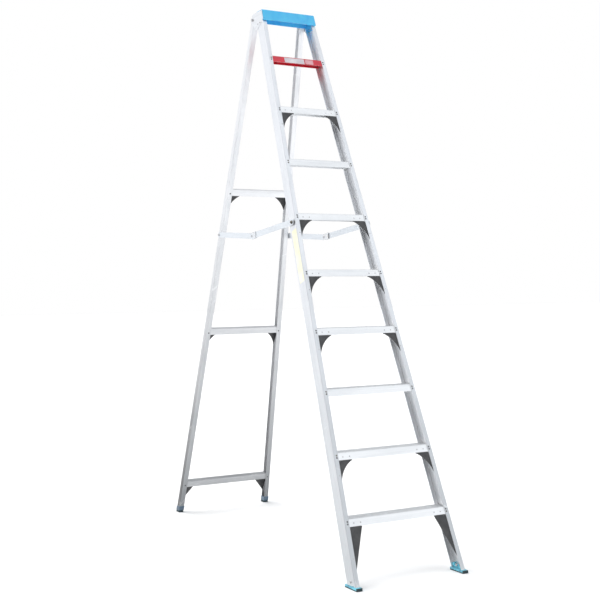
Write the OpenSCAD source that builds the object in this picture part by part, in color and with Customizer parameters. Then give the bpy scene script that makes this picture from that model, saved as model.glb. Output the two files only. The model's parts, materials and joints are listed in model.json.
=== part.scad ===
// Four-legged aluminium step ladder.
// A treaded front frame and a railed rear frame hang from two hinge plates under a moulded top cap.
// Folding spreaders, one each side, lock the two frames apart.
// Origin: on the floor, midway between the front and the rear feet. X across, +Y to the rear, +Z up.

/* [Front frame] */
// Lean of the front frame from the vertical, degrees
front_lean = 21.76; // [21.4:0.01:22]
// Half width over the front stiles at the floor
front_foot_half = 319.8; // [310:0.1:330]
// Inward splay of each front stile, degrees
front_splay = 2.74; // [2.6:0.01:2.9]
// Depth of the front stile channel
front_web = 71.5; // [68:0.5:76]
// Width of the front stile flanges
front_flange = 24; // [22:0.5:28]
// Wall of the front stile channel
front_wall = 2.5; // [2:0.1:3]

/* [Treads] */
// Number of treads below the top cap
tread_count = 9; // [9:1:9]
// Height of the lowest tread
first_tread = 310; // [300:1:320]
// Height from one tread to the next
tread_pitch = 300; // [296:0.5:302]
// Height of the tread's front and rear skirts
tread_h = 35; // [32:0.5:38]
// Thickness of the tread's plate and skirts
tread_wall = 2.2; // [2:0.1:2.8]
// Number of grip ribs on each tread
rib_count = 11; // [7:1:13]

/* [Rear frame] */
// Lean of the rear frame from the vertical, degrees
rear_lean = 16.15; // [15.9:0.01:16.4]
// Half width over the rear stiles at the floor
rear_foot_half = 318; // [310:0.1:325]
// Inward splay of each rear stile, degrees
rear_splay = 2.87; // [2.8:0.01:2.95]
// Depth of the rear stile channel
rear_web = 36.5; // [34:0.5:40]
// Width of the rear stile flanges
rear_flange = 30; // [26:0.5:32]
// Wall of the rear stile channel
rear_wall = 2; // [1.8:0.1:2.5]
// Height of the rear rails
rail_h = 38; // [34:0.5:42]

/* [Feet] */
// Distance from the front plane of the front stiles to that of the rear stiles, on the floor
footprint = 2137; // [2130:1:2145]
// Thickness of the rubber pads under the front feet
pad_t = 5; // [4:0.5:6]
// Thickness of the boot plate between pad and stile
boot_t = 9; // [7:0.5:11]
// Height of the sleeves round the rear stiles' ends
sleeve_h = 26; // [20:1:32]

/* [Top] */
// Height of the top cap
ladder_h = 2988; // [2985:1:2995]
// Height of the cap's apron
cap_h = 62; // [59:1:66]
// Length of the cap's cheeks inside the front stiles
cap_plug = 22; // [16:1:26]
// Wall of the moulded cap
cap_wall = 3; // [2.5:0.1:4]

/* [Spreaders] */
// Height of a spreader link
link_h = 32; // [28:1:34]
// Thickness of a spreader link
link_t = 3; // [2.5:0.1:3.5]
// Radius of the spreader bolts
pin_r = 4; // [3.5:0.1:4.5]

/* [Hidden] */
$fn = 48;

front_foot_y = -1085;
rear_foot_y = front_foot_y + footprint;
stile_foot_z = pad_t + boot_t;
stile_top_z = ladder_h - cap_h;

// Pivots as [y, z]; every pivot axis runs along X.
hinge = [210, 2951];
front_pivot = [-355, 1762];
knuckle = [118, 1712];
rear_pivot = [563, 1742];

// Distances from the middle of the ladder to the inner faces of the rear and the front links.
link_x = 232;
front_link_x = link_x + link_t + 0.3;
hinge_r = 5;
run = 0.05;

braced_treads = [1, 2, 4, 5, 6, 8];
rail_heights = [163.5, 1136, 1969];

rivet_r = 2.4;
rivet_head_r = 4.4;
rivet_head_h = 1.8;

alu = [0.80, 0.81, 0.82];
steel = [0.62, 0.64, 0.66];
charcoal = [0.25, 0.26, 0.26];
cap_blue = [0.25, 0.66, 0.90];
boot_blue = [0.40, 0.78, 0.88];
rear_boot_grey = [0.45, 0.53, 0.60];
tread_red = [0.80, 0.22, 0.28];
rubber_grey = [0.14, 0.20, 0.21];

// Places what is drawn for the left side on the left or, mirrored, on the right.
module on_side(s) {
    if (s == 1) mirror([1, 0, 0]) children();
    else children();
}

module on_both_sides() {
    for (s = [0, 1]) on_side(s) children();
}

// Front frame's own plane: x across, y into the stiles from their front face, z up the slope.
module on_front() {
    translate([0, front_foot_y, 0]) rotate([-front_lean, 0, 0]) children();
}

// Left front stile's own axes, with the web's outer face at x = 0.
module on_front_stile() {
    on_front() translate([-front_foot_half, 0, 0]) rotate([0, front_splay, 0]) children();
}

// Rear frame's own plane: x across, y into the stiles from their front face, z up the slope.
module on_rear() {
    translate([0, rear_foot_y, 0]) rotate([rear_lean, 0, 0]) children();
}

module on_rear_stile() {
    on_rear() translate([-rear_foot_half, 0, 0]) rotate([0, rear_splay, 0]) children();
}

// Distances up the slope of each frame's front plane for a height above the floor.
function front_s(z) = z / cos(front_lean);
function rear_s(z) = z / cos(rear_lean);
// Half widths over the stiles at a distance up the slope.
function front_half(s) = front_foot_half - s * tan(front_splay);
function rear_half(s) = rear_foot_half - s * tan(rear_splay);
function tread_z(i) = first_tread + (i - 1) * tread_pitch;

// A bar along X from x = a to x = b at [y, z].
module x_rod(p, r, a, b) {
    translate([a, p[0], p[1]]) rotate([0, 90, 0]) cylinder(r = r, h = b - a);
}

// Bolt along X on the left side, with washer, hex head and nut clamping from x = -outer to -inner.
module bolt(p, r, outer, inner, washer_r = 0) {
    slack = 0.5;
    x_rod(p, r, -outer - slack, -inner + slack + 9);
    if (washer_r > 0) x_rod(p, washer_r, -outer - slack - 1.5, -outer - slack);
    translate([-outer - slack - 7, 0, 0]) hex_prism(p, 1.7 * r, 7);
    translate([-inner + slack, 0, 0]) hex_prism(p, 1.7 * r, 6);
}

module hex_prism(p, r, h) {
    translate([0, p[0], p[1]]) rotate([0, 90, 0]) cylinder(r = r, h = h, $fn = 6);
}

// Extrudes a [y, z] outline along X from x = a to x = b.
module x_extrude(a, b) {
    translate([a, 0, 0]) rotate([90, 0, 90]) linear_extrude(b - a) children();
}

// Keeps what lies between two heights above the floor.
module between_heights(low, high) {
    intersection() {
        children();
        translate([-500, -1500, low]) cube([1000, 3000, high - low]);
    }
}

// Channel section that opens toward +x, with a rounded heel.
module channel(web, flange, wall) {
    heel = 2;
    difference() {
        union() {
            translate([heel, 0]) square([flange - heel, web]);
            translate([0, heel]) square([heel + 1, web - 2 * heel]);
            for (y = [heel, web - heel]) translate([heel, y]) circle(r = heel);
        }
        translate([wall, wall]) square([flange, web - 2 * wall]);
    }
}

// Rivet along +y from the outer face at y = 0, through a grip of the given thickness.
module rivet(grip, head_r) {
    rotate([-90, 0, 0]) {
        translate([0, 0, -rivet_head_h]) cylinder(r1 = head_r * 0.62, r2 = head_r, h = rivet_head_h);
        cylinder(r = rivet_r, h = grip);
        translate([0, 0, grip]) cylinder(r = head_r * 0.8, h = 1.4);
    }
}

module rivet_bore() {
    rotate([-90, 0, 0]) translate([0, 0, -3]) cylinder(r = rivet_r + run, h = 16);
}

// ---- Fastener places -------------------------------------------------------------------------

flange_rivet_in = 8.5;
flange_rivet_drop = [11, 22];

// Puts children at the rivets that hold the treads to a flange of the left front stile at depth y.
module at_tread_rivets(y = 0) {
    on_front() for (i = [1:tread_count], drop = flange_rivet_drop) {
        s = front_s(tread_z(i) - drop) + y * tan(front_lean);
        translate([-front_half(s) + front_flange - flange_rivet_in, y, s]) children();
    }
}

brace_rivet_in = [27, 65];

// Puts children at the two rivets through the tread's front skirt that hold its left brace.
module at_brace_rivets(i) {
    s = front_s(tread_z(i) - 19);
    on_front() for (d = brace_rivet_in)
        translate([-front_half(s) + front_flange + d, skirt_front, s]) children();
}

// Puts children at the rivet through the flange and the lower tip of a tread's left brace.
module at_brace_tip(i) {
    s = front_s(tread_z(i) - tread_h) - 0.72 * brace_drop(i);
    on_front() translate([-front_half(s) + front_flange - flange_rivet_in, 0, s]) children();
}

// Depth of the skirt's outer and inner faces behind the front plane.
skirt_front = front_wall + 0.1;
skirt_back = skirt_front + tread_wall;
// Front and rear edge of a tread's plate, level with its top, and the grip ribs between them.
tread_front = skirt_front / cos(front_lean);
tread_back = (front_web - skirt_front) / cos(front_lean);
rib_h = 1.2;
rib_gap = (tread_back - tread_front - 4) / (rib_count - 1);

// ---- Front frame -----------------------------------------------------------------------------

plate_t = 3;
plate_rivets = [[112, 2916], [138, 2913]];

module front_stile(s) {
    color(alu) on_side(s) difference() {
        between_heights(stile_foot_z, stile_top_z)
            on_front_stile() translate([0, 0, -60]) linear_extrude(3400)
                channel(front_web, front_flange, front_wall);
        at_tread_rivets() rivet_bore();
        at_tread_rivets(front_web) mirror([0, 1, 0]) rivet_bore();
        for (i = braced_treads) at_brace_tip(i) rivet_bore();
        x_rod(front_pivot, pin_r + run, -300, -100);
        at_boot_bolt() cylinder(r = 3 + run, h = 40, center = true);
        at_plate_rivets() cylinder(r = 3 + run, h = 20, center = true);
    }
}

// Section of a tread as [y, z], from the front plane at the tread's top.
module tread_section() {
    slope = tan(front_lean);
    skirt = tread_wall / cos(front_lean);
    lip = 5;
    foot = -tread_h;
    difference() {
        polygon([
            [tread_front - rib_h * slope, -rib_h], [tread_back - rib_h * slope, -rib_h],
            [tread_back + foot * slope, foot], [tread_front + foot * slope, foot]
        ]);
        polygon([
            [tread_front + skirt - (rib_h + tread_wall) * slope, -rib_h - tread_wall],
            [tread_back - skirt - (rib_h + tread_wall) * slope, -rib_h - tread_wall],
            [tread_back - skirt + (foot + 2) * slope, foot + 2],
            [tread_back - skirt - lip + (foot + 2) * slope, foot + 2],
            [tread_back - skirt - lip + (foot - 1) * slope, foot - 1],
            [tread_front + skirt + (foot - 1) * slope, foot - 1]
        ]);
    }
}

module tread(i) {
    z = tread_z(i);
    half = front_half(front_s(z) + front_web * tan(front_lean)) - front_wall - 0.3;
    color(i == tread_count ? tread_red : alu) difference() {
        translate([0, front_foot_y + z * tan(front_lean), z]) union() {
            x_extrude(-half, half) tread_section();
            for (k = [0:rib_count - 1]) translate([-half, tread_front + 1 + k * rib_gap, -rib_h - 0.4])
                cube([2 * half, 2, rib_h + 0.4]);
        }
        on_both_sides() at_tread_rivets() rivet_bore();
        on_both_sides() at_tread_rivets(front_web) mirror([0, 1, 0]) rivet_bore();
        if (len(search(i, braced_treads)) > 0) on_both_sides() at_brace_rivets(i) rivet_bore();
    }
}

function brace_drop(i) = i == 1 ? 205 : 102;
function brace_reach(i) = i == 1 ? 71 : 80;
function brace_bow(i) = i == 1 ? 0.5 : 15;

// Points of a shallow arc from p to q that bows to the left of the way from p to q.
function bowed(p, q, bow, n = 10) =
    let(chord = norm(q - p), r = (chord * chord / 4 + bow * bow) / (2 * bow), half = asin(chord / (2 * r)),
        along = (q - p) / chord, left = [-along[1], along[0]], c = (p + q) / 2 + left * (bow - r))
    [for (k = [0:n]) let(a = -half + 2 * half * k / n) c + r * (sin(a) * along + cos(a) * left)];

// Gusset plate as [x, s] from the flange's inner edge at x = 0, tucked behind it at top and tip.
module gusset(reach, drop, bow, tuck, tip_tuck, lean_in) {
    polygon(concat(
        [[-tuck, 0], [-tip_tuck - drop * lean_in, -drop]],
        bowed([-drop * lean_in, -drop], [reach, 0], bow)
    ));
}

// Sheet plate drawn as [x, s] in a frame's own plane, from depth y to y + t.
module sheet_at(y, t) {
    translate([0, y + t, 0]) rotate([90, 0, 0]) linear_extrude(t) children();
}

sheet_t = 2;
brace_tab = 26;

// Left brace of tread i: a gusset behind the flange, jogged back behind the tread's skirt.
module brace(i, s) {
    top = front_s(tread_z(i) - tread_h) - 0.3;
    edge = -front_half(top) + front_flange;
    color(charcoal) on_side(s) difference() {
        on_front() translate([edge, 0, top]) {
            sheet_at(front_wall, sheet_t)
                gusset(brace_reach(i), brace_drop(i), brace_bow(i), 16, 16, tan(front_splay));
            translate([4, front_wall, -3]) cube([brace_reach(i) - 8, skirt_back + sheet_t - front_wall, 2.6]);
            translate([4, skirt_back, -3]) cube([brace_reach(i) - 8, sheet_t, brace_tab + 3]);
        }
        at_brace_rivets(i) rivet_bore();
        at_brace_tip(i) rivet_bore();
    }
}

module tread_rivets() {
    color(charcoal) on_both_sides() {
        at_tread_rivets() rivet(skirt_back, rivet_head_r);
        at_tread_rivets(front_web) mirror([0, 1, 0]) rivet(skirt_back, rivet_head_r);
    }
}

module brace_rivets() {
    color(steel) on_both_sides() for (i = braced_treads) {
        at_brace_rivets(i) rivet(tread_wall + sheet_t, 3.6);
        at_brace_tip(i) rivet(front_wall + sheet_t, 3.6);
    }
}

// ---- Feet ------------------------------------------------------------------------------------

// Centre of the bolt that holds the left boot, with its axis across the web.
module at_boot_bolt() {
    on_front_stile() translate([0, front_web / 2, 48]) rotate([0, 90, 0]) children();
}

// Outer edge, width and front of the front soles, on the left side.
sole_x = -front_foot_half - 3.5;
sole_w = 32;
sole_y = front_foot_y - 9;

module front_boot(s) {
    gap = 0.25;
    plug_top = 62;
    color(boot_blue) on_side(s) difference() {
        union() {
            translate([sole_x, sole_y, pad_t]) cube([sole_w, 102, boot_t]);
            between_heights(stile_foot_z, plug_top) on_front_stile() {
                for (k = [0:3]) translate([front_wall + gap, front_wall + gap + k * 16.5, -40])
                    cube([14, k < 3 ? 17 : 66 - k * 16.5 - 2 * gap, 76 + k * 8 + (k % 2) * 5]);
            }
            between_heights(stile_foot_z, 32) on_front_stile()
                for (k = [0:4]) translate([-gap - 2.5, 1 + k * 14, -40]) cube([2.5, 14.2, 60 + (k % 2) * 7]);
        }
        at_boot_bolt() cylinder(r = 3 + run, h = 60, center = true);
    }
}

module front_pad(s) {
    color(rubber_grey) on_side(s) difference() {
        translate([sole_x, sole_y - 4, 0]) cube([sole_w, 106, pad_t + boot_t]);
        translate([sole_x - 5, sole_y, pad_t]) cube([sole_w + 10, 120, boot_t + 1]);
        for (k = [0:6]) translate([sole_x - 5, sole_y + 4 + k * 14, -1]) cube([sole_w + 10, 4, 2.5]);
    }
}

module boot_bolts() {
    color(steel) on_both_sides() at_boot_bolt() {
        translate([0, 0, -0.25]) cylinder(r = 3, h = 19);
        translate([0, 0, -3.4]) cylinder(r = 6, h = 3.4, $fn = 6);
        translate([0, 0, front_wall + 14.4]) cylinder(r = 6.5, h = 3);
    }
}

rear_pad_t = stile_foot_z - 2;
sleeve_gap = 0.2;
sleeve_wall = 1.6;

// The left rear stile's outline grown by some millimetres, between two heights above the floor.
module rear_foot_block(grow, low, high) {
    between_heights(low, high) on_rear_stile()
        translate([-grow, -grow, -60]) cube([rear_flange + 2 * grow, rear_web + 2 * grow, 200]);
}

module rear_boot(s) {
    color(rear_boot_grey) on_side(s) difference() {
        rear_foot_block(sleeve_gap + sleeve_wall, rear_pad_t, stile_foot_z + sleeve_h);
        rear_foot_block(sleeve_gap, stile_foot_z, stile_foot_z + sleeve_h + 5);
    }
}

module rear_pad(s) {
    color(rubber_grey) on_side(s) difference() {
        x_extrude(-rear_foot_half + 1, -rear_foot_half + rear_flange) polygon([
            [rear_foot_y - 2, 0], [rear_foot_y + 46, 0],
            [rear_foot_y + 36, rear_pad_t], [rear_foot_y - 5, rear_pad_t]
        ]);
        for (k = [0:3]) translate([-rear_foot_half - 5, rear_foot_y + 2 + k * 11, -1])
            cube([rear_flange + 10, 3, 3]);
    }
}

// ---- Top cap and hinge -----------------------------------------------------------------------

// Side outline of the cap as [y, z] with its inner offset; front leans back, rear is upright.
module cap_outline(inset, top_inset) {
    low = front_foot_y + stile_top_z * tan(front_lean) - 11;
    front_top = low + 19;
    rear = front_foot_y + stile_top_z * tan(front_lean) + 84;
    polygon([
        [low + inset, stile_top_z - (inset > 0 ? 1 : 0)], [rear - inset, stile_top_z - (inset > 0 ? 1 : 0)],
        [rear - inset, ladder_h - top_inset - 4], [rear - inset - 4, ladder_h - top_inset],
        [front_top + inset + 5, ladder_h - top_inset], [front_top + inset, ladder_h - top_inset - 5]
    ]);
}

// Block between the outer planes of the front stiles' webs, moved inward by inset.
module between_stiles(inset) {
    tall = 240;
    foot = front_s(stile_top_z) - 100;
    on_front() translate([0, -60, 0]) rotate([90, 0, 0]) mirror([0, 0, 1]) linear_extrude(240)
        polygon([
            [-front_half(foot) + inset, foot], [front_half(foot) - inset, foot],
            [front_half(foot + tall) - inset, foot + tall], [-front_half(foot + tall) + inset, foot + tall]
        ]);
}

module top_cap() {
    cheek_in = front_wall + 0.3;
    tray_half = front_half(front_s(ladder_h)) - 11;
    color(cap_blue) difference() {
        union() {
            intersection() {
                between_stiles(0);
                difference() {
                    x_extrude(-200, 200) cap_outline(0, 0);
                    intersection() {
                        x_extrude(-200, 200) cap_outline(cap_wall, cap_wall + 3);
                        between_stiles(cheek_in + cap_wall);
                    }
                    translate([-tray_half, front_foot_y + stile_top_z * tan(front_lean) + 20, ladder_h - 3])
                        cube([2 * tray_half, 54, 6]);
                }
            }
            between_heights(stile_top_z - cap_plug, stile_top_z + 8) intersection() {
                difference() {
                    between_stiles(cheek_in);
                    between_stiles(cheek_in + cap_wall);
                }
                on_front() translate([-300, cheek_in, 2800]) cube([600, front_web - 2 * cheek_in, 600]);
            }
        }
        on_both_sides() at_plate_rivets() cylinder(r = 3 + run, h = 30, center = true);
    }
}

// Puts children at the rivets of the left hinge plate, axis across the web, origin on its outer face.
module at_plate_rivets() {
    on_front_stile() for (p = plate_rivets) {
        at = in_front_stile(p);
        translate([0, at[0], at[1]]) rotate([0, 90, 0]) children();
    }
}

// A point [y, z] of the ladder as [depth, length] in the left front stile's own axes.
function in_front_stile(p) =
    let(y = p[0] - front_foot_y, z = p[1], s = y * sin(front_lean) + z * cos(front_lean))
    [y * cos(front_lean) - z * sin(front_lean), s / cos(front_splay)];

// Corners of the hinge plate as [y, z, radius].
plate_corners = [[86, 2936, 8], [102, 2976, 8], [206, 2972, 12], [216, 2946, 16], [150, 2894, 14]];

module hinge_plate(s) {
    color(steel) on_side(s) difference() {
        on_front_stile() translate([-plate_t - 0.05, 0, 0]) rotate([90, 0, 90]) linear_extrude(plate_t)
            hull() for (c = plate_corners)
                translate(in_front_stile([c[0], c[1]])) circle(r = c[2], $fn = 32);
        x_rod(hinge, hinge_r + run, -300, -100);
        at_plate_rivets() cylinder(r = 3 + run, h = 20, center = true);
    }
}

// Half widths at a [y, z] point: over the rear stiles' webs, and over the front stiles' webs.
function rear_web_x(p) = rear_half(-(p[0] - rear_foot_y) * sin(rear_lean) + p[1] * cos(rear_lean));
function front_web_x(p) = front_half((p[0] - front_foot_y) * sin(front_lean) + p[1] * cos(front_lean));

module hinge_bolts() {
    color(steel) on_both_sides() {
        bolt(hinge, hinge_r, front_web_x(hinge) + plate_t, rear_web_x(hinge) - rear_wall);
        at_plate_rivets() translate([0, 0, -plate_t - 0.05]) {
            cylinder(r = 3, h = plate_t + front_wall + cap_wall + 0.6);
            translate([0, 0, -2.2]) cylinder(r1 = 3.6, r2 = 5.4, h = 2.2);
            translate([0, 0, plate_t + front_wall + cap_wall + 0.6]) cylinder(r = 4.6, h = 1.6);
        }
    }
}

// ---- Rear frame ------------------------------------------------------------------------------

rear_top_z = 2980;
rail_back = rear_web - rear_wall - 0.1;
rail_rivet_in = 17;
rail_rivet_up = 13;

// Puts children at the rivets through the left stile's flange that hold each rail.
module at_rail_rivets() {
    on_rear() for (h = rail_heights) {
        s = rear_s(h) + rail_rivet_up;
        translate([-rear_half(s) + rail_rivet_in, 0, s]) children();
    }
}

function rear_drop(k) = [92, 84, 82][k - 1];
function rear_reach(k) = [70, 62, 78][k - 1];
function rear_bow(k) = k == 1 ? 0.5 : 11;

// Front faces of a rear brace's gusset, inside the rear flange, and of its tab inside the rail.
rear_sheet_y = rear_web - rear_wall - 0.05 - sheet_t;
rear_tab_y = rear_sheet_y - 0.05 - sheet_t;

// Puts children at the rivets through a rail's rear skirt, on its outer face, facing the rear.
module at_rear_brace_rivets(k) {
    s = rear_s(rail_heights[k - 1]) + 12;
    on_rear() for (d = [0.25, 0.75])
        translate([-rear_half(s) + rear_flange + d * rear_reach(k), rear_sheet_y + sheet_t, s])
            mirror([0, 1, 0]) children();
}

// Puts children at the rivet through the rear flange and the gusset of a rail's left brace.
module at_rear_brace_tip(k) {
    s = rear_s(rail_heights[k - 1]) - 0.35 * rear_drop(k);
    on_rear() translate([-rear_half(s) + rear_flange - 7, rear_web, s]) mirror([0, 1, 0]) children();
}

module rear_stile(s) {
    color(alu) on_side(s) difference() {
        between_heights(stile_foot_z, rear_top_z)
            on_rear_stile() translate([0, 0, -60]) linear_extrude(3400)
                channel(rear_web, rear_flange, rear_wall);
        at_rail_rivets() rivet_bore();
        at_rail_rivets() translate([0, rear_web - 8, 0]) rivet_bore();
        for (k = [1:len(rail_heights)]) at_rear_brace_tip(k) rivet_bore();
        x_rod(hinge, hinge_r + run, -300, -100);
        x_rod(rear_pivot, pin_r + run, -300, -100);
    }
}

module rear_rail(k) {
    s = rear_s(rail_heights[k - 1]);
    half = rear_half(s + rail_h) - rear_wall - 0.3;
    color(alu) difference() {
        on_rear() translate([0, 0, s]) x_extrude(-half, half) difference() {
            translate([rear_wall + 0.05, 0]) square([rail_back - rear_wall, rail_h]);
            translate([2 * rear_wall + 0.05, -1])
                square([rail_back - 3 * rear_wall, rail_h - rear_wall + 1]);
        }
        on_both_sides() at_rail_rivets() rivet_bore();
        on_both_sides() at_rail_rivets() translate([0, rear_web - 8, 0]) rivet_bore();
        on_both_sides() at_rear_brace_rivets(k) rivet_bore();
    }
}

// Left brace of rail k: a gusset inside the rear flange, jogged forward inside the rail's rear skirt.
module rear_brace(k, s) {
    top = rear_s(rail_heights[k - 1]) - 0.3;
    edge = -rear_half(top) + rear_flange;
    jog = rear_sheet_y + sheet_t - rear_tab_y;
    color(charcoal) on_side(s) difference() {
        on_rear() translate([edge, 0, top]) {
            sheet_at(rear_sheet_y, sheet_t)
                gusset(rear_reach(k), rear_drop(k), rear_bow(k), 22, 2, tan(rear_splay));
            translate([3, rear_tab_y, -3]) cube([rear_reach(k) - 6, jog, 2.6]);
            translate([3, rear_tab_y, -3]) cube([rear_reach(k) - 6, sheet_t, 27]);
        }
        at_rear_brace_rivets(k) rivet_bore();
        at_rear_brace_tip(k) rivet_bore();
    }
}

module rear_rivets() {
    color(charcoal) on_both_sides() {
        at_rail_rivets() rivet(2 * rear_wall + 0.05, rivet_head_r);
        at_rail_rivets() translate([0, rear_web, 0]) mirror([0, 1, 0])
            rivet(2 * rear_wall + 0.15, rivet_head_r);
        for (k = [1:len(rail_heights)]) {
            at_rear_brace_rivets(k) rivet(2 * sheet_t + 0.05, 3.6);
            at_rear_brace_tip(k) rivet(rear_wall + sheet_t + 0.05, 3.6);
        }
    }
}

// ---- Spreaders -------------------------------------------------------------------------------

// Bar with round ends between two [y, z] points, on the left side from x = -outer to -inner.
module link_bar(p, q, outer, inner, grow) {
    x_extrude(-outer, -inner) hull() {
        translate(p) circle(r = link_h / 2, $fn = 32);
        translate(q) circle(r = link_h / 2, $fn = 32);
        if (grow > 0) translate(q + (q - p) / norm(q - p) * grow) circle(r = link_h / 2, $fn = 32);
    }
}

module front_link(s) {
    color(alu) on_side(s) difference() {
        link_bar(front_pivot, knuckle, front_link_x + link_t, front_link_x, 0);
        x_rod(front_pivot, pin_r + run, -300, -100);
        x_rod(knuckle, pin_r + run, -300, -100);
    }
}

module rear_link(s) {
    color(alu) on_side(s) difference() {
        link_bar(rear_pivot, knuckle, link_x + link_t, link_x, 22);
        x_rod(rear_pivot, pin_r + run, -300, -100);
        x_rod(knuckle, pin_r + run, -300, -100);
    }
}

// Angle by which the front link falls toward the knuckle.
front_link_fall = atan2(front_pivot[1] - knuckle[1], knuckle[0] - front_pivot[0]);

clip_t = 2;
clip_in = link_x - clip_t;
clip_out = front_link_x + link_t + 0.3;

// Inverted channel on the rear link, over the front of the knuckle: its roof stops the front link.
module link_clip(s) {
    roof = link_h / 2 + 0.4;
    sill = -link_h / 2 - 2;
    front = -52;
    color(steel) on_side(s) difference() {
        translate([0, knuckle[0], knuckle[1]]) rotate([-front_link_fall, 0, 0]) {
            x_extrude(-link_x, -clip_in) translate([front, sill]) square([64, roof + clip_t - sill]);
            x_extrude(-clip_out - clip_t, -clip_in) translate([front, roof]) square([44, clip_t]);
            x_extrude(-clip_out - clip_t, -clip_out) translate([front, sill])
                square([38, roof + clip_t - sill]);
        }
        x_rod(knuckle, pin_r + run, -300, -100);
    }
}

// Knuckle rivet, and the half of the rear pivot that stays in the rear link.
module link_rivets(s) {
    knuckle_out = front_link_x + link_t + 0.1;
    color(steel) on_side(s) {
        x_rod(knuckle, pin_r, -knuckle_out - 1, -clip_in + 1);
        x_rod(knuckle, 7, -knuckle_out - 2, -knuckle_out);
        x_rod(knuckle, 7, -clip_in, -clip_in + 2);
        x_rod(rear_pivot, pin_r, -link_x - link_t - 1, -link_x);
        translate([-link_x - link_t - 5, 0, 0]) hex_prism(rear_pivot, 1.8 * pin_r, 5);
    }
}

module front_pivot_bolts() {
    face = front_web_x(front_pivot);
    color(charcoal) on_both_sides() {
        bolt(front_pivot, pin_r, front_link_x + link_t, face - front_wall, 9);
        x_rod(front_pivot, 9, -front_link_x + 0.1, -face - 0.5);
    }
}

// Bolts in the rear stiles: each ends short of its rear link, whose own half of the pivot faces it.
module rear_pivot_bolts() {
    face = rear_web_x(rear_pivot);
    color(steel) on_both_sides() {
        x_rod(rear_pivot, pin_r, -link_x + 0.3, -face + rear_wall + 8);
        x_rod(rear_pivot, 9, -link_x + 0.3, -face - 0.5);
        translate([-face + rear_wall + 0.5, 0, 0]) hex_prism(rear_pivot, 1.7 * pin_r, 6);
    }
}

front_stile(0);  // front_stile_left
front_stile(1);  // front_stile_right
tread(1);  // tread_1
tread(2);  // tread_2
tread(3);  // tread_3
tread(4);  // tread_4
tread(5);  // tread_5
tread(6);  // tread_6
tread(7);  // tread_7
tread(8);  // tread_8
tread(9);  // tread_9
top_cap();
hinge_plate(0);  // hinge_plate_left
hinge_plate(1);  // hinge_plate_right
hinge_bolts();
brace(1, 0);  // brace_1_left
brace(1, 1);  // brace_1_right
brace(2, 0);  // brace_2_left
brace(2, 1);  // brace_2_right
brace(4, 0);  // brace_4_left
brace(4, 1);  // brace_4_right
brace(5, 0);  // brace_5_left
brace(5, 1);  // brace_5_right
brace(6, 0);  // brace_6_left
brace(6, 1);  // brace_6_right
brace(8, 0);  // brace_8_left
brace(8, 1);  // brace_8_right
tread_rivets();
brace_rivets();
front_boot(0);  // front_boot_left
front_boot(1);  // front_boot_right
front_pad(0);  // front_pad_left
front_pad(1);  // front_pad_right
boot_bolts();
rear_stile(0);  // rear_stile_left
rear_stile(1);  // rear_stile_right
rear_rail(1);  // rear_rail_1
rear_rail(2);  // rear_rail_2
rear_rail(3);  // rear_rail_3
rear_brace(1, 0);  // rear_brace_1_left
rear_brace(1, 1);  // rear_brace_1_right
rear_brace(2, 0);  // rear_brace_2_left
rear_brace(2, 1);  // rear_brace_2_right
rear_brace(3, 0);  // rear_brace_3_left
rear_brace(3, 1);  // rear_brace_3_right
rear_rivets();
rear_boot(0);  // rear_boot_left
rear_boot(1);  // rear_boot_right
rear_pad(0);  // rear_pad_left
rear_pad(1);  // rear_pad_right
front_link(0);  // front_link_left
front_link(1);  // front_link_right
rear_link(0);  // rear_link_left
rear_link(1);  // rear_link_right
link_clip(0);  // link_clip_left
link_clip(1);  // link_clip_right
link_rivets(0);  // link_rivets_left
link_rivets(1);  // link_rivets_right
front_pivot_bolts();
rear_pivot_bolts();
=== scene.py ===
"""Aluminium step ladder: materials, blank stickers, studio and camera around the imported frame."""
import json
import math

import bmesh
import bpy
from mathutils import Matrix, Vector


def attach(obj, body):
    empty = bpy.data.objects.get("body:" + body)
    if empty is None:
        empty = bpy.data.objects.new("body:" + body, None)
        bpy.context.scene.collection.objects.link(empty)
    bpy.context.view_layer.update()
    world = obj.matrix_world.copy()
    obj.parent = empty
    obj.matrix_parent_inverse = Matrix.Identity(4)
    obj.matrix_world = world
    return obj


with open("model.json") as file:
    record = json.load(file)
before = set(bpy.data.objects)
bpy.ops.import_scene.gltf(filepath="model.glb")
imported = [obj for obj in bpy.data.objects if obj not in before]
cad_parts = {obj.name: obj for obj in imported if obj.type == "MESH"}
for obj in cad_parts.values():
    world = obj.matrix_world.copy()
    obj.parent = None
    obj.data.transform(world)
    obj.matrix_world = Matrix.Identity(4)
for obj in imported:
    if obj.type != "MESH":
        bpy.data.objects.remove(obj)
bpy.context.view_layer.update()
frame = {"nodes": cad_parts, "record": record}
nodes = frame["nodes"]

FRONT_LEAN = math.radians(21.76)
FRONT_SPLAY = math.radians(2.74)
REAR_LEAN = math.radians(16.15)
REAR_SPLAY = math.radians(2.87)
FRONT_FOOT = Vector((0.3198, -1.085, 0.0))
# Depth of a tread's skirt behind the front plane, and height of the top tread.
SKIRT_DEPTH = 0.0026
TOP_TREAD_Z = 2.710

STICKER_THICKNESS = 0.00035
STICKER_LIFT = 0.00008


def turned(lean, splay):
    """Rotation of a stile: splayed in its frame's plane, then leaned with the frame."""
    return Matrix.Rotation(lean, 3, "X") @ Matrix.Rotation(splay, 3, "Y")


UPRIGHT = Matrix.Identity(3)
ALONG_X = Matrix.Rotation(math.pi / 2, 3, "Y")
ALONG_Y = Matrix.Rotation(math.pi / 2, 3, "X")


# ---- Node helpers ----------------------------------------------------------------------------

def rgba(colour):
    return (*colour, 1.0) if isinstance(colour, tuple) else colour


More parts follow.
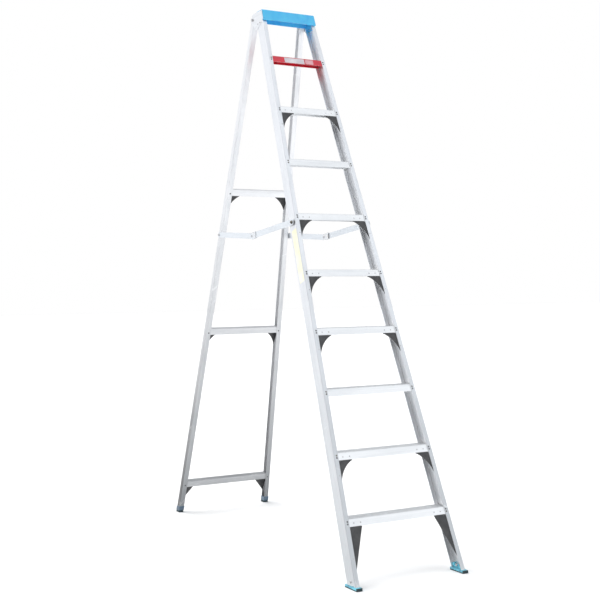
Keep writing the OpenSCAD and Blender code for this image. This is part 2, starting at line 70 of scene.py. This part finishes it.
class Graph:
    """A node tree, built through short calls."""

    def __init__(self, owner):
        owner.use_nodes = True
        self.tree = owner.node_tree
        self.tree.nodes.clear()

    def node(self, kind, **settings):
        made = self.tree.nodes.new(kind)
        for key, value in settings.items():
            setattr(made, key, value)
        return made

    def link(self, source, target):
        self.tree.links.new(source, target)

    def feed(self, value, target):
        """Links a socket, or sets a plain value."""
        if isinstance(value, bpy.types.NodeSocket):
            self.link(value, target)
        else:
            target.default_value = value

    def axis(self, vector, letter):
        """One coordinate of a vector."""
        split = self.node("ShaderNodeSeparateXYZ")
        self.link(vector, split.inputs[0])
        return split.outputs[letter]

    def band(self, value, low, high, to_low=0.0, to_high=1.0, shape="LINEAR"):
        """Maps low..high to to_low..to_high, held at both ends."""
        mapped = self.node("ShaderNodeMapRange", interpolation_type=shape)
        self.link(value, mapped.inputs["Value"])
        for key, number in (("From Min", low), ("From Max", high), ("To Min", to_low), ("To Max", to_high)):
            mapped.inputs[key].default_value = number
        return mapped.outputs["Result"]

    def math(self, operation, a, b):
        made = self.node("ShaderNodeMath", operation=operation)
        self.feed(a, made.inputs[0])
        self.feed(b, made.inputs[1])
        return made.outputs[0]

    def mix(self, factor, a, b):
        made = self.node("ShaderNodeMix", data_type="RGBA")
        self.feed(factor, made.inputs[0])
        self.feed(rgba(a), made.inputs[6])
        self.feed(rgba(b), made.inputs[7])
        return made.outputs[2]


class Shader(Graph):
    """A material with one principled surface, and the textures that its wear and grain are made of."""

    def __init__(self, name):
        self.material = bpy.data.materials.new(name)
        super().__init__(self.material)
        output = self.node("ShaderNodeOutputMaterial")
        self.surface = self.node("ShaderNodeBsdfPrincipled")
        self.link(self.surface.outputs["BSDF"], output.inputs["Surface"])
        spaces = self.node("ShaderNodeTexCoord").outputs
        self.coords = spaces["Object"]
        self.facing = spaces["Normal"]

    def set(self, **values):
        """Feeds the surface's inputs, named with underscores for spaces."""
        for key, value in values.items():
            self.feed(value, self.surface.inputs[key.replace("_", " ")])
        return self

    def local(self, rotation, size):
        """Object coordinates turned into a member's own axes and counted in features of that size."""
        mapping = self.node("ShaderNodeMapping", vector_type="TEXTURE")
        mapping.inputs["Rotation"].default_value = rotation.to_euler("XYZ")
        mapping.inputs["Scale"].default_value = size
        self.link(self.coords, mapping.inputs["Vector"])
        return mapping.outputs["Vector"]

    def noise(self, vector, scale=1.0, detail=3.0, roughness=0.5):
        texture = self.node("ShaderNodeTexNoise")
        texture.inputs["Scale"].default_value = scale
        texture.inputs["Detail"].default_value = detail
        texture.inputs["Roughness"].default_value = roughness
        self.link(vector, texture.inputs["Vector"])
        return texture.outputs["Fac"]

    def cells(self, vector, scale, feature="F1"):
        texture = self.node("ShaderNodeTexVoronoi", feature=feature)
        texture.inputs["Scale"].default_value = scale
        self.link(vector, texture.inputs["Vector"])
        return texture.outputs["Distance"]

    def edges(self, radius, reach=0.12):
        """1 on a worn edge and 0 on a flat face, from how far a rounded normal leaves the true one."""
        self.rounded = self.node("ShaderNodeBevel", samples=4)
        self.rounded.inputs["Radius"].default_value = radius
        flat = self.node("ShaderNodeNewGeometry").outputs["True Normal"]
        dot = self.node("ShaderNodeVectorMath", operation="DOT_PRODUCT")
        self.link(self.rounded.outputs["Normal"], dot.inputs[0])
        self.link(flat, dot.inputs[1])
        return self.band(dot.outputs["Value"], 1.0, 1.0 - reach)

    def openness(self, distance):
        """1 in the open, falling toward 0 where other faces stand within that distance."""
        near = self.node("ShaderNodeAmbientOcclusion", samples=4)
        near.inputs["Distance"].default_value = distance
        return near.outputs["AO"]

    def crevice_grime_and_shade(self, distance):
        """1 deep in a corner and 0 in the open: where grime and painted shade darken the colour."""
        return self.band(self.openness(distance), 0.75, 0.25)

    def bump(self, height, strength, distance, normal=None):
        made = self.node("ShaderNodeBump")
        made.inputs["Strength"].default_value = strength
        made.inputs["Distance"].default_value = distance
        self.link(height, made.inputs["Height"])
        if normal is not None:
            self.link(normal, made.inputs["Normal"])
        return made.outputs["Normal"]


# ---- Materials -------------------------------------------------------------------------------

DIE_LINE = (0.42, 0.44, 0.47)
SPECK = (0.38, 0.38, 0.38)
FRESH_SCRATCH = (0.93, 0.94, 0.95)
HANDLED_EDGE = (0.30, 0.32, 0.35)
# Colour that corners are darkened toward: grime, with painted shade.
GRIME_AND_SHADE_COLOUR = (0.16, 0.15, 0.135)
# Brighter metal painted inside channels: a painted fill light against their shade.
PAINTED_FILL_METAL = (0.97, 0.975, 0.98)
CHANNEL_REACH = 0.04


def aluminium(
        name, rotation, bright, dull, rough=0.34, grime=0.55, rim=0.4,
        foot=None, foot_height=1.9, left_face_painted_shade=None, painted_fill=0.0):
    """Mill-finish extrusion: die lines along the member, oxide blotches, scratches, smudged edges.

    Below foot_height the colour darkens toward foot, partly dirt and partly painted shade; near the ground
    the faces that look toward -X take a darker painted shade. Inside a channel the colour is painted
    brighter, a painted fill light, by the given fraction.
    """
    s = Shader(name)
    lines = s.noise(s.local(rotation, (0.0011, 0.0011, 0.30)), detail=4, roughness=0.65)
    streaks = s.noise(s.local(rotation, (0.009, 0.009, 0.75)), detail=3)
    blotches = s.noise(s.local(rotation, (0.07, 0.07, 0.28)), detail=7, roughness=0.60)
    speckle = s.noise(s.coords, 420, 2, 0.6)
    slant = rotation @ Matrix.Rotation(math.radians(9), 3, "X") @ Matrix.Rotation(math.radians(-7), 3, "Y")
    hairs = s.cells(s.local(slant, (0.05, 0.05, 1.1)), 1.3, "DISTANCE_TO_EDGE")
    scratched = s.math("MULTIPLY", s.band(hairs, 0.014, 0.0), s.band(s.noise(s.coords, 6, 2), 0.50, 0.62))
    worn = s.math("MULTIPLY", s.edges(0.0012), s.band(s.noise(s.coords, 60, 4), 0.30, 0.62, 0.35, 1.0))
    # Corners darkened by grime and painted shade, broken up by noise.
    grime_and_shade = s.math("MULTIPLY", s.crevice_grime_and_shade(0.012), s.band(s.noise(s.coords, 90, 5), 0.25, 0.70, 0.3, 1.0))

    oxide = s.math("ADD", s.band(blotches, 0.42, 0.68, 0.0, 0.55), s.band(streaks, 0.50, 0.75, 0.0, 0.45))
    colour = s.mix(oxide, bright, dull)
    if foot is not None:
        height = s.axis(s.coords, "Z")
        # Near the ground, faces that look toward -X are painted darker: painted shade on that side.
        if left_face_painted_shade is not None:
            leftward = s.band(s.axis(s.facing, "X"), -0.5, -0.9)
            foot = s.mix(s.math("MULTIPLY", leftward, s.band(height, 1.3, 0.6)), foot, left_face_painted_shade)
        # Darker toward the bottom: partly dirt, partly painted shade for the light falling off low down.
        low_dirt_and_shade = s.math(
            "MULTIPLY", s.band(height, foot_height, 0.10), s.band(streaks, 0.30, 0.70, 0.85, 1.0))
        colour = s.mix(low_dirt_and_shade, colour, foot)
    # Inside channels the colour is painted brighter: a painted fill light lifting the shade there.
    if painted_fill > 0:
        inside = s.band(s.openness(CHANNEL_REACH), 0.85, 0.60, 0.0, painted_fill)
        colour = s.mix(inside, colour, PAINTED_FILL_METAL)
    colour = s.mix(s.band(lines, 0.35, 0.65, 0.0, 0.16), colour, DIE_LINE)
    colour = s.mix(s.band(speckle, 0.62, 0.74, 0.0, 0.35), colour, SPECK)
    colour = s.mix(s.math("MULTIPLY", scratched, 0.55), colour, FRESH_SCRATCH)
    colour = s.mix(s.math("MULTIPLY", worn, rim), colour, HANDLED_EDGE)
    colour = s.mix(s.math("MULTIPLY", grime_and_shade, grime), colour, GRIME_AND_SHADE_COLOUR)
    polish = s.math("ADD", blotches, s.math("MULTIPLY", lines, 0.5))
    roughness = s.band(polish, 0.45, 1.05, rough - 0.06, rough + 0.20)
    roughness = s.math("SUBTRACT", roughness, s.math("MULTIPLY", worn, 0.10))
    metallic = s.band(s.math("ADD", s.math("MULTIPLY", oxide, 0.5), grime_and_shade), 0.0, 1.2, 0.97, 0.35)
    normal = s.bump(lines, 0.22, 0.00018, s.rounded.outputs["Normal"])
    normal = s.bump(blotches, 0.12, 0.0016, normal)
    normal = s.bump(scratched, 0.25, 0.0002, normal)
    return s.set(Base_Color=colour, Metallic=metallic, Roughness=roughness, Normal=normal).material


def red_tread(name):
    """Gloss red paint over the same extrusion, chipped to metal on its ribs and edges."""
    s = Shader(name)
    lines = s.noise(s.local(ALONG_X, (0.0012, 0.0012, 0.25)), detail=3)
    flow = s.noise(s.coords, 14, 5, 0.6)
    peel = s.noise(s.coords, 900, 2)
    chips = s.noise(s.coords, 150, 6, 0.7)
    edge = s.edges(0.0013)
    bare = s.band(s.math("ADD", s.math("MULTIPLY", edge, 0.42), s.math("MULTIPLY", chips, 0.85)), 0.79, 0.83)
    # Corners darkened by grime and painted shade.
    grime_and_shade = s.math("MULTIPLY", s.crevice_grime_and_shade(0.012), s.band(flow, 0.3, 0.7, 0.3, 1.0))
    colour = s.mix(s.band(flow, 0.35, 0.70), (0.66, 0.020, 0.045), (0.50, 0.014, 0.032))
    colour = s.mix(s.math("MULTIPLY", edge, 0.35), colour, (0.80, 0.12, 0.12))
    colour = s.mix(s.math("MULTIPLY", grime_and_shade, 0.5), colour, (0.10, 0.02, 0.02))
    colour = s.mix(bare, colour, (0.72, 0.73, 0.75))
    roughness = s.band(s.math("ADD", flow, s.math("MULTIPLY", lines, 0.4)), 0.4, 1.0, 0.22, 0.46)
    normal = s.bump(peel, 0.10, 0.0002, s.rounded.outputs["Normal"])
    normal = s.bump(lines, 0.14, 0.0002, normal)
    normal = s.bump(bare, 0.5, -0.00015, normal)
    s.set(Base_Color=colour, Metallic=bare, Roughness=roughness, Normal=normal)
    return s.set(Coat_Weight=0.35, Coat_Roughness=0.18).material


def moulded(name, colour, shade, scuff, rough=0.36, dirt_height=0.0, glow=0.04):
    """Moulded plastic: fine spark-eroded grain, faint flow marks, pale scuffs on its edges, dirt low down."""
    s = Shader(name)
    grain = s.cells(s.coords, 1300)
    flow = s.noise(s.local(ALONG_X, (0.05, 0.05, 0.30)), detail=4)
    patches = s.noise(s.coords, 22, 6, 0.62)
    rubs = s.noise(s.local(ALONG_X, (0.004, 0.004, 0.05)), detail=5, roughness=0.7)
    worn = s.math("MULTIPLY", s.edges(0.0016), s.band(rubs, 0.35, 0.60, 0.15, 1.0))
    scuffed = s.math("MULTIPLY", s.band(rubs, 0.60, 0.70), s.band(patches, 0.48, 0.60, 0.0, 0.7))
    tone = s.mix(s.band(patches, 0.35, 0.70), colour, shade)
    tone = s.mix(s.band(flow, 0.45, 0.70, 0.0, 0.25), tone, shade)
    tone = s.mix(s.math("MULTIPLY", scuffed, 0.45), tone, scuff)
    tone = s.mix(s.math("MULTIPLY", worn, 0.60), tone, scuff)
    # Corners darkened by grime and painted shade, and low down by dirt.
    grime_and_shade = s.math("MULTIPLY", s.crevice_grime_and_shade(0.010), s.band(patches, 0.3, 0.65, 0.3, 1.0))
    if dirt_height > 0:
        low = s.band(s.axis(s.coords, "Z"), dirt_height, 0.004, 0.0, 0.75)
        grime_and_shade = s.math("MAXIMUM", grime_and_shade, s.math("MULTIPLY", low, s.band(patches, 0.40, 0.62)))
    tone = s.mix(s.math("MULTIPLY", grime_and_shade, 0.6), tone, (0.09, 0.08, 0.065))
    roughness = s.band(s.math("ADD", patches, worn), 0.35, 1.3, rough, rough + 0.24)
    normal = s.bump(grain, 0.10, 0.00012, s.rounded.outputs["Normal"])
    normal = s.bump(rubs, 0.10, 0.0003, normal)
    s.set(Base_Color=tone, Roughness=roughness, Normal=normal)
    return s.set(Specular_IOR_Level=0.45, Subsurface_Weight=glow, Subsurface_Scale=0.008).material


def powder_coat(name):
    """Charcoal powder coat with an orange-peel skin, thin at its sheared edges."""
    s = Shader(name)
    peel = s.noise(s.coords, 620, 2, 0.4)
    patches = s.noise(s.coords, 26, 6, 0.6)
    chips = s.noise(s.coords, 240, 5, 0.7)
    edge = s.edges(0.0009)
    bare = s.band(s.math("ADD", s.math("MULTIPLY", edge, 0.40), s.math("MULTIPLY", chips, 0.90)), 0.80, 0.85)
    colour = s.mix(s.band(patches, 0.35, 0.68), (0.040, 0.041, 0.044), (0.066, 0.066, 0.068))
    colour = s.mix(s.math("MULTIPLY", edge, 0.35), colour, (0.16, 0.16, 0.17))
    colour = s.mix(bare, colour, (0.50, 0.50, 0.51))
    roughness = s.band(s.math("ADD", patches, s.math("MULTIPLY", edge, 0.3)), 0.35, 0.95, 0.58, 0.42)
    normal = s.bump(peel, 0.30, 0.0003, s.rounded.outputs["Normal"])
    return s.set(Base_Color=colour, Metallic=bare, Roughness=roughness, Normal=normal).material


def plated(name, bright, tarnish, rough=0.28):
    """Zinc or oxide plating on small fasteners: mottled passivation, dull rims, grime and painted shade round
    the heads.
    """
    s = Shader(name)
    mottle = s.noise(s.coords, 180, 5, 0.65)
    tint = s.noise(s.coords, 60, 3)
    marks = s.noise(s.coords, 1500, 2)
    worn = s.edges(0.0006)
    # Round the heads, grime and painted shade darken the colour.
    grime_and_shade = s.crevice_grime_and_shade(0.004)
    colour = s.mix(s.band(mottle, 0.36, 0.66), bright, tarnish)
    colour = s.mix(s.band(tint, 0.52, 0.72, 0.0, 0.35), colour, (0.56, 0.49, 0.33))
    colour = s.mix(s.math("MULTIPLY", worn, 0.5), colour, (0.80, 0.80, 0.81))
    colour = s.mix(s.math("MULTIPLY", grime_and_shade, 0.6), colour, (0.05, 0.045, 0.04))
    roughness = s.band(mottle, 0.35, 0.70, rough, rough + 0.26)
    normal = s.bump(marks, 0.12, 0.0001, s.rounded.outputs["Normal"])
    metallic = s.band(grime_and_shade, 0.0, 1.0, 0.95, 0.4)
    return s.set(Base_Color=colour, Metallic=metallic, Roughness=roughness, Normal=normal).material


def rubber(name):
    """Dark teal sole rubber: granular, dusty where it has rubbed on the ground."""
    s = Shader(name)
    grit = s.noise(s.coords, 700, 4, 0.7)
    pores = s.cells(s.coords, 900)
    patches = s.noise(s.coords, 40, 5, 0.6)
    scuffed = s.math("MULTIPLY", s.edges(0.0012), s.band(grit, 0.40, 0.62))
    colour = s.mix(s.band(patches, 0.35, 0.70), (0.012, 0.034, 0.042), (0.030, 0.058, 0.066))
    colour = s.mix(s.band(grit, 0.58, 0.75, 0.0, 0.5), colour, (0.11, 0.12, 0.115))
    colour = s.mix(s.math("MULTIPLY", scuffed, 0.6), colour, (0.22, 0.22, 0.21))
    roughness = s.band(patches, 0.30, 0.70, 0.66, 0.86)
    normal = s.bump(grit, 0.35, 0.0004, s.rounded.outputs["Normal"])
    normal = s.bump(pores, 0.15, 0.0002, normal)
    return s.set(Base_Color=colour, Roughness=roughness, Normal=normal).material


def sticker(name, ink, faded):
    """Blank vinyl sticker: sun-faded film, small bubbles and grime along its cut edge."""
    s = Shader(name)
    fade = s.noise(s.coords, 16, 5, 0.6)
    rubs = s.noise(s.local(UPRIGHT, (0.006, 0.006, 0.03)), detail=5, roughness=0.7)
    bubbles = s.band(s.cells(s.coords, 90), 0.16, 0.0)
    wrinkles = s.noise(s.coords, 70, 3)
    rim = s.edges(0.0010)
    colour = s.mix(s.band(fade, 0.38, 0.66), ink, faded)
    colour = s.mix(s.band(rubs, 0.60, 0.72, 0.0, 0.5), colour, (0.72, 0.72, 0.70))
    colour = s.mix(s.math("MULTIPLY", rim, 0.45), colour, (0.34, 0.32, 0.27))
    roughness = s.band(s.math("ADD", fade, rubs), 0.7, 1.3, 0.30, 0.58)
    normal = s.bump(bubbles, 0.35, 0.0004)
    normal = s.bump(wrinkles, 0.30, 0.0006, normal)
    s.set(Base_Color=colour, Roughness=roughness, Normal=normal)
    return s.set(Coat_Weight=0.2, Coat_Roughness=0.35).material


SKY = (0.10, 0.56, 0.86)
CYAN = (0.20, 0.68, 0.82)
STEEL_BLUE = (0.12, 0.18, 0.25)
# Bright and dull metal: of the front stiles, of the treads that shoes keep clean, and of the rear frame.
CLEAN = ((0.86, 0.88, 0.91), (0.71, 0.73, 0.76))
WIPED = ((0.95, 0.96, 0.97), (0.84, 0.86, 0.88))
STORED = ((0.86, 0.87, 0.89), (0.70, 0.72, 0.74))

# Rails darken low down: partly dirt, partly painted shade.
rail_metal = aluminium("rail_extrusion", ALONG_X, *STORED, foot=(0.40, 0.41, 0.42))
clip_zinc = plated("bright_zinc_plate", (0.84, 0.86, 0.89), (0.68, 0.70, 0.73), 0.34)

# Finishes of nodes that differ from the rest of their material slot, and of every slot.
by_node = {f"rear_rail_{number}": rail_metal for number in (1, 2, 3)}
# Stiles: darker low down (dirt and painted shade) and a painted fill light in their channels; the rear ones
# also a painted shade on their -X faces near the ground.
for side, sign in (("left", 1), ("right", -1)):
    by_node[f"link_clip_{side}"] = clip_zinc
    by_node[f"front_stile_{side}"] = aluminium(
        f"front_{side}_extrusion", turned(-FRONT_LEAN, sign * FRONT_SPLAY), *CLEAN,
        foot=(0.54, 0.56, 0.58), foot_height=1.6, painted_fill=1.0)
    by_node[f"rear_stile_{side}"] = aluminium(
        f"rear_{side}_extrusion", turned(REAR_LEAN, sign * REAR_SPLAY), *STORED, grime=0.2,
        foot=(0.24, 0.25, 0.26), left_face_painted_shade=(0.04, 0.04, 0.04), painted_fill=0.65)
by_slot = {
    "tread_alu": aluminium("cross_extrusion", ALONG_X, *WIPED, rough=0.36, grime=0.40),
    "link_alu": aluminium("flat_bar", ALONG_Y, (0.80, 0.84, 0.88), (0.68, 0.71, 0.75), rough=0.40, rim=0.8),
    "plate_alu": aluminium("sheared_plate", ALONG_Y, *CLEAN),
    "red_paint": red_tread("red_gloss_paint"),
    "cap_plastic": moulded("blue_moulded_cap", SKY, (0.065, 0.46, 0.82), (0.45, 0.76, 0.94), glow=0.30),
    "boot_plastic": moulded("cyan_moulded_boot", CYAN, (0.085, 0.46, 0.66), (0.50, 0.78, 0.86), 0.42, 0.05),
    "rear_boot_plastic": moulded(
        "grey_blue_boot", STEEL_BLUE, (0.08, 0.12, 0.17), (0.36, 0.42, 0.48), 0.42, 0.03),
    "brace_paint": powder_coat("charcoal_powder_coat"),
    "plated_steel": plated("zinc_plate", (0.62, 0.63, 0.65), (0.40, 0.40, 0.42)),
    "dark_steel": plated("black_oxide", (0.045, 0.045, 0.050), (0.090, 0.088, 0.088), 0.36),
    "pad_rubber": rubber("sole_rubber"),
}
for subpart in frame["record"]["subparts"]:
    mesh = nodes[subpart["node"]].data
    mesh.materials.clear()
    mesh.materials.append(by_node.get(subpart["node"]) or by_slot[subpart["material_slot"]])


# ---- Blank stickers --------------------------------------------------------------------------

def sticker_sheet(name, corners, radius, material, steps=6):
    """A thin rounded sheet on four corners of a flat face, given counterclockwise seen from outside."""
    outward = (corners[1] - corners[0]).cross(corners[3] - corners[0]).normalized()
    mesh = bpy.data.meshes.new(name)
    sheet = bmesh.new()
    rim = []
    for i, corner in enumerate(corners):
        to_last = (corners[i - 1] - corner).normalized()
        to_next = (corners[(i + 1) % 4] - corner).normalized()
        for step in range(steps + 1):
            angle = math.pi / 2 * step / steps
            offset = to_last * (1 - math.sin(angle)) + to_next * (1 - math.cos(angle))
            rim.append(sheet.verts.new(corner + radius * offset))
    face = sheet.faces.new(rim)
    top = bmesh.ops.extrude_face_region(sheet, geom=[face])["geom"]
    for vert in top:
        if isinstance(vert, bmesh.types.BMVert):
            vert.co += outward * STICKER_THICKNESS
    bmesh.ops.recalc_face_normals(sheet, faces=sheet.faces)
    sheet.to_mesh(mesh)
    sheet.free()
    mesh.materials.append(material)
    piece = bpy.data.objects.new(name, mesh)
    bpy.context.scene.collection.objects.link(piece)
    soften = piece.modifiers.new("soft_rim", "BEVEL")
    soften.width = 0.00012
    soften.segments = 2
    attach(piece, "front_frame")


def on_left_web(depth, length):
    """A point on the outer face of the left front stile's web, in metres from its front and its foot."""
    foot = Vector((-FRONT_FOOT.x, FRONT_FOOT.y, 0.0))
    return foot + turned(-FRONT_LEAN, FRONT_SPLAY) @ Vector((-STICKER_LIFT, depth, length))


def on_skirt(x, below):
    """A point on the front face of the top tread's skirt, in metres from the middle and below its top."""
    height = TOP_TREAD_Z - below
    y = FRONT_FOOT.y + height * math.tan(FRONT_LEAN) + SKIRT_DEPTH / math.cos(FRONT_LEAN)
    outward = Vector((0.0, -math.cos(FRONT_LEAN), math.sin(FRONT_LEAN)))
    return Vector((x, y, height)) + outward * STICKER_LIFT


def rectangle(place, start, end, low, high):
    """Four corners from start to end and from low to high, each put on its face by place."""
    return [place(*at) for at in ((start, low), (end, low), (end, high), (start, high))]


pale_yellow = sticker("yellow_sticker", (0.86, 0.84, 0.60), (0.90, 0.90, 0.78))
pale_grey = sticker("silver_sticker", (0.62, 0.58, 0.62), (0.78, 0.76, 0.78))
pale_pink = sticker("pink_sticker", (0.68, 0.32, 0.36), (0.74, 0.42, 0.45))

sticker_sheet(
    "web_sticker", rectangle(on_left_web, 0.056, 0.006, 1.570, 1.868), 0.005, pale_yellow)
sticker_sheet(
    "tread_sticker_wide", rectangle(on_skirt, -0.082, 0.044, 0.033, 0.004), 0.004, pale_grey)
sticker_sheet(
    "tread_sticker_small", rectangle(on_skirt, 0.050, 0.102, 0.031, 0.005), 0.004, pale_pink)


# ---- Studio ----------------------------------------------------------------------------------

def studio_floor():
    s = Shader("floor_paint")
    mottle = s.noise(s.coords, 1.5, 4)
    colour = s.mix(s.band(mottle, 0.3, 0.7), (0.93, 0.93, 0.93), (0.95, 0.95, 0.95))
    s.set(Base_Color=colour, Roughness=s.band(mottle, 0.3, 0.7, 0.85, 0.95))
    mesh = bpy.data.meshes.new("floor")
    grid = bmesh.new()
    bmesh.ops.create_grid(grid, x_segments=8, y_segments=8, size=60)
    grid.to_mesh(mesh)
    grid.free()
    mesh.materials.append(s.material)
    floor = bpy.data.objects.new("floor", mesh)
    floor.location.z = -0.0005
    bpy.context.scene.collection.objects.link(floor)


def soft_light(name, toward, spread, strength, colour):
    """Light from a wide, distant source, so it falls evenly over the floor and the ladder."""
    light = bpy.data.lights.new(name, "SUN")
    light.angle = math.radians(spread)
    light.energy = strength
    light.color = colour
    lamp = bpy.data.objects.new(name, light)
    lamp.location = (0.0, 0.0, 6.0)
    lamp.rotation_euler = Vector(toward).to_track_quat("-Z", "Y").to_euler()
    bpy.context.scene.collection.objects.link(lamp)


def studio_world(seen, overhead, backdrop):
    """Soft surroundings: dim overhead, and a bright sweep behind the ladder that its metal reflects."""
    world = bpy.data.worlds.new("studio")
    graph = Graph(world)
    direction = graph.node("ShaderNodeTexCoord").outputs["Generated"]
    behind = graph.band(graph.axis(direction, "Y"), 0.0, 0.5, shape="SMOOTHSTEP")
    low = graph.band(graph.axis(direction, "Z"), 0.60, 0.25, shape="SMOOTHSTEP")
    lighting = graph.node("ShaderNodeBackground")
    cast = graph.mix(graph.math("MULTIPLY", behind, low), overhead, backdrop)
    graph.link(cast, lighting.inputs["Color"])
    shown = graph.node("ShaderNodeBackground")
    shown.inputs["Color"].default_value = rgba(seen)
    blend = graph.node("ShaderNodeMixShader")
    graph.link(graph.node("ShaderNodeLightPath").outputs["Is Camera Ray"], blend.inputs["Fac"])
    graph.link(lighting.outputs[0], blend.inputs[1])
    graph.link(shown.outputs[0], blend.inputs[2])
    graph.link(blend.outputs[0], graph.node("ShaderNodeOutputWorld").inputs["Surface"])
    bpy.context.scene.world = world


def studio_camera():
    """Eye-level view from the front and left, with the ladder's whole height in a square frame."""
    place = Vector((-2.971, -5.384, 1.406))
    heading, pitch, roll = 0.5087, -0.014, 0.0125
    forward = Vector((
        math.sin(heading) * math.cos(pitch), math.cos(heading) * math.cos(pitch), math.sin(pitch)))
    right = Vector((math.cos(heading), -math.sin(heading), 0.0))
    down = forward.cross(right)
    right, down = (
        right * math.cos(roll) + down * math.sin(roll),
        down * math.cos(roll) - right * math.sin(roll))
    data = bpy.data.cameras.new("camera")
    data.lens = 65.34
    data.sensor_width = 36.0
    data.shift_x = -0.0077
    data.shift_y = 0.0084
    data.clip_end = 200.0
    camera = bpy.data.objects.new("camera", data)
    axes = Matrix((right, -down, -forward)).transposed()
    camera.matrix_world = Matrix.Translation(place) @ axes.to_4x4()
    bpy.context.scene.collection.objects.link(camera)
    bpy.context.scene.camera = camera


studio_floor()
studio_world(seen=(1.0, 1.0, 1.0), overhead=(0.44, 0.45, 0.47), backdrop=(1.05, 1.06, 1.08))
soft_light("key", (0.35, -0.35, -0.87), 60, 2.6, (1.0, 0.99, 0.97))
soft_light("fill", (-0.35, 0.75, -0.50), 80, 0.8, (0.95, 0.98, 1.0))
studio_camera()
bpy.context.scene.view_settings.view_transform = "Standard"
